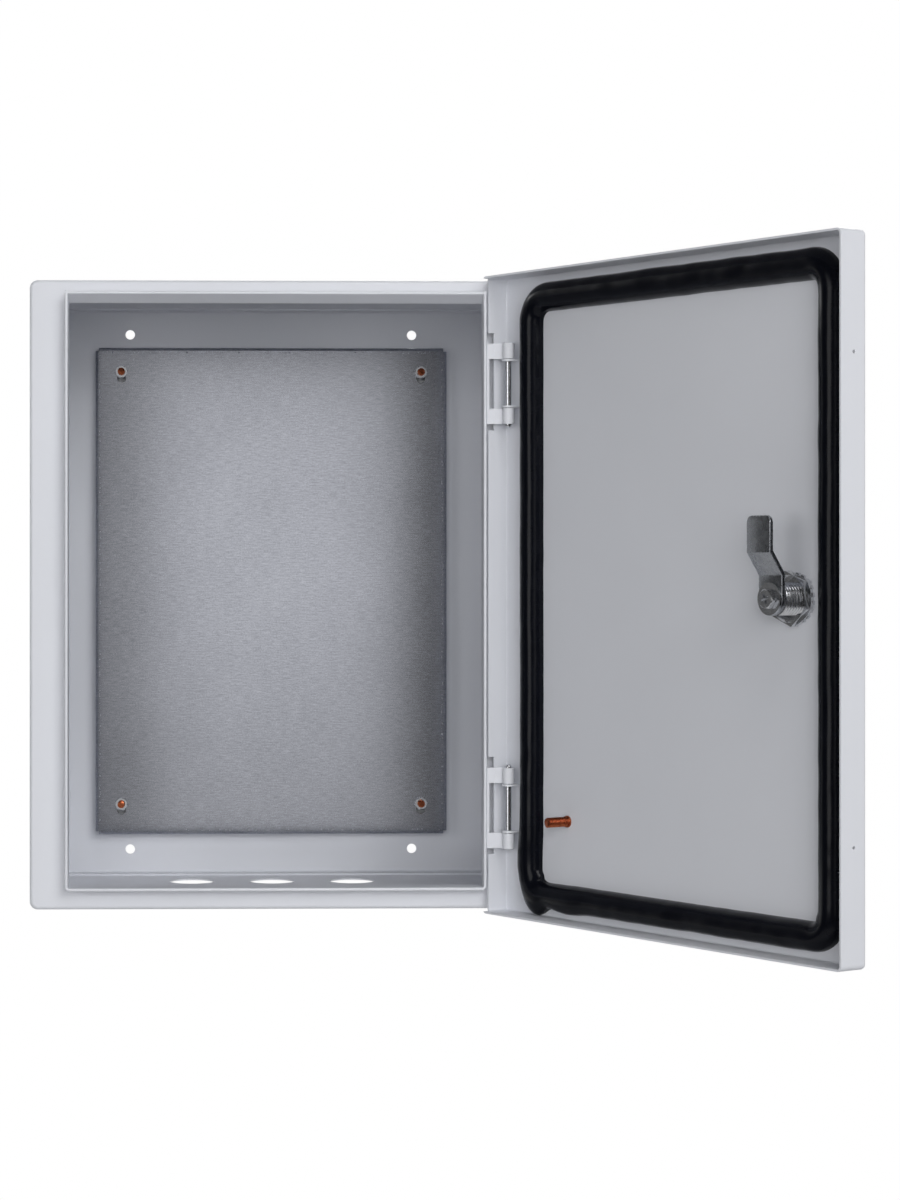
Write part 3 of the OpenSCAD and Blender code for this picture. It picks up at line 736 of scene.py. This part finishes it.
hinge_turn, lock_turn = hinge_line - corner_r, lock_line + corner_r
end_turn = end_line - corner_r
turn(hinge_turn, end_turn)
run(lock_turn - hinge_turn, 0, 80)
turn(lock_turn, end_turn)
run(0, -2 * end_turn, 110)
turn(lock_turn, -end_turn)
run(hinge_turn - lock_turn, 0, 80)
turn(hinge_turn, -end_turn)
run(0, 2 * end_turn, 110)
bpy.ops.object.mode_set(mode="OBJECT")
close_up(gasket, 0.05 * MM)
print("bead of", len(gasket.data.vertices), "vertices")

# %% [markdown]
# Poured foam is never even. The start and end of the pour meet at the lower hinge corner, where
# the foam swells into a blob, and the bead is a little narrower along the bottom. Proportional
# editing pulls the neighbours along, a Displace modifier gives the slow waves, and the foot of
# the bead is pressed flat on the door again at the end.

# %% Make the bead uneven
def pull(point, by, reach):
    """Pulls the surface near a point, less and less out to a distance."""
    nearest = min((vertex.co - point).length for vertex in gasket.data.vertices)
    pick(gasket, "vertices", lambda spot: (spot - point).length < nearest + 0.2 * MM)
    bpy.ops.transform.translate(
        value=by, use_proportional_edit=True, proportional_size=reach,
        proportional_edit_falloff="SMOOTH",
    )
    bpy.ops.object.mode_set(mode="OBJECT")


bottom_share, bottom_drop = 16.6 / 18, -1.2 * MM
pick(gasket, "vertices", lambda point: point.z < -end_turn - 4 * MM)
bpy.ops.transform.resize(value=(1, 1, bottom_share), center_override=(0, foot, -end_line))
bpy.ops.transform.translate(value=(0, 0, bottom_drop))
bpy.ops.object.mode_set(mode="OBJECT")
outer_end = -end_line - bead_half
flank = foot + 3 * MM
# The bead widens above the corner, swells into a blob at it, dips beside it and swells again.
pull(Vector((hinge_line + 9 * MM, flank, 18 * MM - end_line)), (2.8 * MM, 0, 0), 28 * MM)
pull(Vector((hinge_line - 1 * MM, flank, outer_end)), (1 * MM, 0, -6.2 * MM), 15 * MM)
pull(Vector((hinge_line - 19 * MM, flank, outer_end)), (0, 0, 1 * MM), 8 * MM)
pull(Vector((hinge_line - 36 * MM, flank, outer_end)), (0, 0, -1.2 * MM), 20 * MM)
waves = bpy.data.textures.new("foam_waves", "CLOUDS")
waves.noise_scale = 22 * MM
modify(
    gasket, "DISPLACE", texture=waves, strength=0.9 * MM, mid_level=0.5, texture_coords="LOCAL"
)
pick(gasket, "vertices", lambda point: point.y < foot + 0.5 * MM)
bpy.ops.transform.resize(value=(1, 0, 1), center_override=(0, foot, 0))
bpy.ops.object.mode_set(mode="OBJECT")
place(gasket, SWING)
smooth(gasket, 50)
finished(gasket, "door", foam_skin.block, "door_gasket")

# %% [markdown]
# The object is lit as for a catalogue. The surround is white for the camera, and white in
# reflections of what lies behind the object. The front of the room is dim in reflections, which
# gives bright metal the dark tones it needs to look like metal. On paint the surround sheds
# only a weak light from above, so that the lamps do the modelling.

# %% Surround
world = Finish("surround", bpy.data.worlds.new("surround"))
bpy.context.scene.world = world.block
path = world.tree.nodes.new("ShaderNodeLightPath")
camera_ray = Wire(world, path.outputs["Is Camera Ray"])
through_ray = Wire(world, path.outputs["Is Transmission Ray"])
mirror_ray = Wire(world, path.outputs["Is Glossy Ray"])
toward = world.parts(world.node("TexCoord", out="Generated"))
DIM, AMBIENT = 0.05, 0.04
BACKDROP, FADE = 0.55, 0.3
room_side = (BACKDROP - toward[1]).ramp(0, FADE)
seen = camera_ray.at_least(through_ray).at_least(mirror_ray * (1 - (1 - DIM) * room_side))
soft = (1 - mirror_ray) * AMBIENT * (toward[2] + 0.2).ramp(0, 0.4)
world.feed(world.tree.nodes["Background"].inputs["Color"], (1, 1, 1, 1))
world.feed(world.tree.nodes["Background"].inputs["Strength"], seen.at_least(soft))
print("surround:", len(world.tree.nodes), "nodes")

# %% [markdown]
# The floor is a pale disc well below the box, which hangs on a wall and throws only a soft
# shadow on it. It glows faintly for the camera, so that it looks as white as the backdrop, and
# hardly at all for the object, so that no light comes up from below.

# %% Floor
floor_r, floor_middle = 1.2, (0, -0.2, -0.8)
glow_on_object, glow_on_camera = (0.03, 0.03, 0.03, 1), (0.72, 0.72, 0.72, 1)
start_clean()
bpy.ops.mesh.primitive_circle_add(
    vertices=96, radius=floor_r, fill_type="NGON", location=floor_middle
)
floor = named("floor")
pale = Finish("pale_floor")
speck = pale.noise(pale.spot(), 3 * MM, detail=2.0)
pale.set(
    base_color=pale.mix(speck, srgb(206, 206, 207), srgb(210, 210, 211)),
    roughness=0.9,
    emission_color=pale.mix(
        pale.node("LightPath", out="Is Camera Ray"), glow_on_object, glow_on_camera
    ),
    emission_strength=1.0,
)
floor.data.materials.append(pale.block)
print("floor", round(2 * floor_r, 2), "m across, at", floor_middle)

# %% [markdown]
# A soft key lamp stands at the upper right, with a weaker one overhead, and a broad lamp in
# front gives the paint an even light. The front lamp leaves no image in metal. A fill from the
# left and a weak lamp from the right open up the shadows, and two lamps light the back. Large
# lamps give soft shadows, and their power is in watts.

# %% Lamps
def soft_lamp(name, spot, aim, wide, high, power, mirrored=True):
    """A rectangular lamp that is turned to its aim, and shows in metal where it is mirrored."""
    start_clean()
    bpy.ops.object.light_add(type="AREA", location=spot)
    lamp = bpy.context.object
    lamp.name = name
    lamp.data.shape = "RECTANGLE"
    lamp.data.size, lamp.data.size_y = wide, high
    lamp.data.energy = power
    lamp.rotation_euler = (Vector(aim) - Vector(spot)).to_track_quat("-Z", "Y").to_euler()
    lamp.visible_glossy = mirrored


middle = (0.05, -0.2, 0)
soft_lamp("key_lamp", (1.15, -2.45, 1.1), middle, 1.1, 1.1, 21)
soft_lamp("top_lamp", (0.3, -1.6, 2.3), middle, 0.9, 0.9, 10)
soft_lamp("front_lamp", (0.15, -2.9, 0.3), middle, 1.6, 1.2, 31, mirrored=False)
soft_lamp("fill_lamp", (-2.1, -2.2, 0.2), middle, 1.3, 1.5, 14)
soft_lamp("right_lamp", (2.3, -1.0, 0.3), middle, 0.8, 1.6, 6)
soft_lamp("back_lamp", (0.9, 2.4, 1.5), middle, 1.4, 1.4, 30)
soft_lamp("back_fill_lamp", (-2.0, 1.8, 0.6), middle, 1.4, 1.4, 16)

# %% [markdown]
# The galvanised plate mirrors what stands in front of the box: a tall panel of cloth, lit from
# its top so that it fades downwards, and a dimmer one beside it. Each panel is a column of weak
# lamps, too weak to change the light on the paint. A lamp's power is its glow times pi and area.

# %% Panels in front
PANEL_Y = -3.0
TALL_GLOWS = (0.45, 0.6, 0.76, 0.88, 1.0, 1.08, 1.05, 1.0)
SIDE_GLOWS = (0.3, 0.38, 0.36)


def panel(name, left, right, low, high, glows):
    """A column of lamps with the glows listed from its foot upwards."""
    step = (high - low) / len(glows)
    for number, glow in enumerate(glows):
        place_of = ((left + right) / 2, PANEL_Y, low + (number + 0.5) * step)
        aim = (place_of[0], 0, place_of[2])
        power = glow * math.pi * (right - left) * step
        soft_lamp(name + str(number), place_of, aim, right - left, step, power)


panel("tall_panel_", -0.165, 0.275, -0.75, 0.39, TALL_GLOWS)
panel("side_panel_", -0.6, -0.165, -0.75, 0.6, SIDE_GLOWS)

# %% [markdown]
# The camera stands a little left of the middle, level with the box, with a long lens. It looks
# almost straight at the back panel, and a shifted lens frames the box without turning further:
# with a shift of STRAIGHT_SHIFT it would not be turned at all. The lens is level, so upright
# edges stay upright.

# %% Camera
STRAIGHT_SHIFT, SIDE_SHIFT, UP_SHIFT = 0.18447, 0.128, -0.02814
PICTURE_HEIGHT, FOCAL_LENGTH = 1200, 2832
camera_turn = -(STRAIGHT_SHIFT - SIDE_SHIFT) * PICTURE_HEIGHT / FOCAL_LENGTH
start_clean()
bpy.ops.object.camera_add(
    location=(-0.0294, -1.9637, 0.0178), rotation=(math.pi / 2, 0, camera_turn)
)
camera = bpy.context.object
camera.data.sensor_width = 36
camera.data.lens = 84.955
camera.data.shift_x = SIDE_SHIFT
camera.data.shift_y = UP_SHIFT
bpy.context.scene.camera = camera
bpy.context.scene.view_settings.view_transform = "Standard"
print("camera turned by", round(math.degrees(camera_turn), 2), "degrees")

# %% Finish
start_clean()
